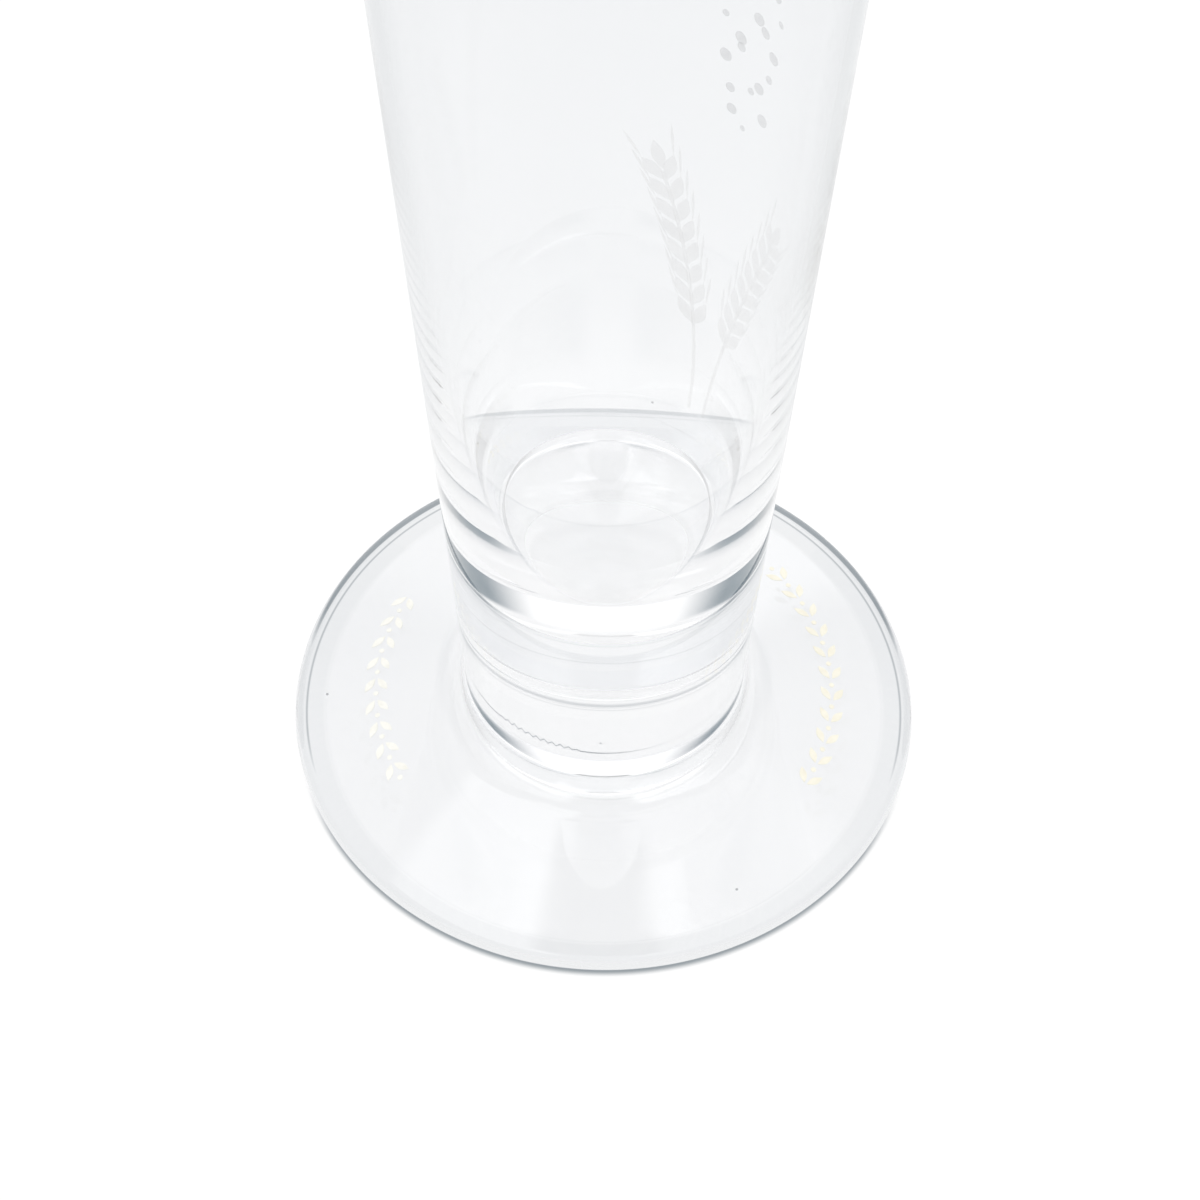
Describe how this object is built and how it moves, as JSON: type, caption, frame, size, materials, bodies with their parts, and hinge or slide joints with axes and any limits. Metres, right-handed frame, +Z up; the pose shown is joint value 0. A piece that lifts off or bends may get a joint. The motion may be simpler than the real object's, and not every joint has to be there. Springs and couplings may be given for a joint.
{
  "type": "tulip beer glass",
  "caption": "Tall clear tulip beer glass: a straight flaring bowl with a heavy solid base, drawn in gently at the lip and fused on to a round foot, for serving beer.",
  "frame": {"origin": "centre of the circle that the glass stands on, at table height", "axes": "+Z up along the axis of the glass, from the foot to the lip; X and Y level"},
  "size_m": [0.08, 0.08, 0.2188],
  "materials": {
    "bowl_glass": "clear fire-polished soda-lime glass, faint waviness from blowing",
    "foot_glass": "clear pressed soda-lime glass, grey to blue at the edge"
  },
  "bodies": {
    "root": {"bowl": "bowl_glass", "foot": "foot_glass"}
  },
  "joints": []
}
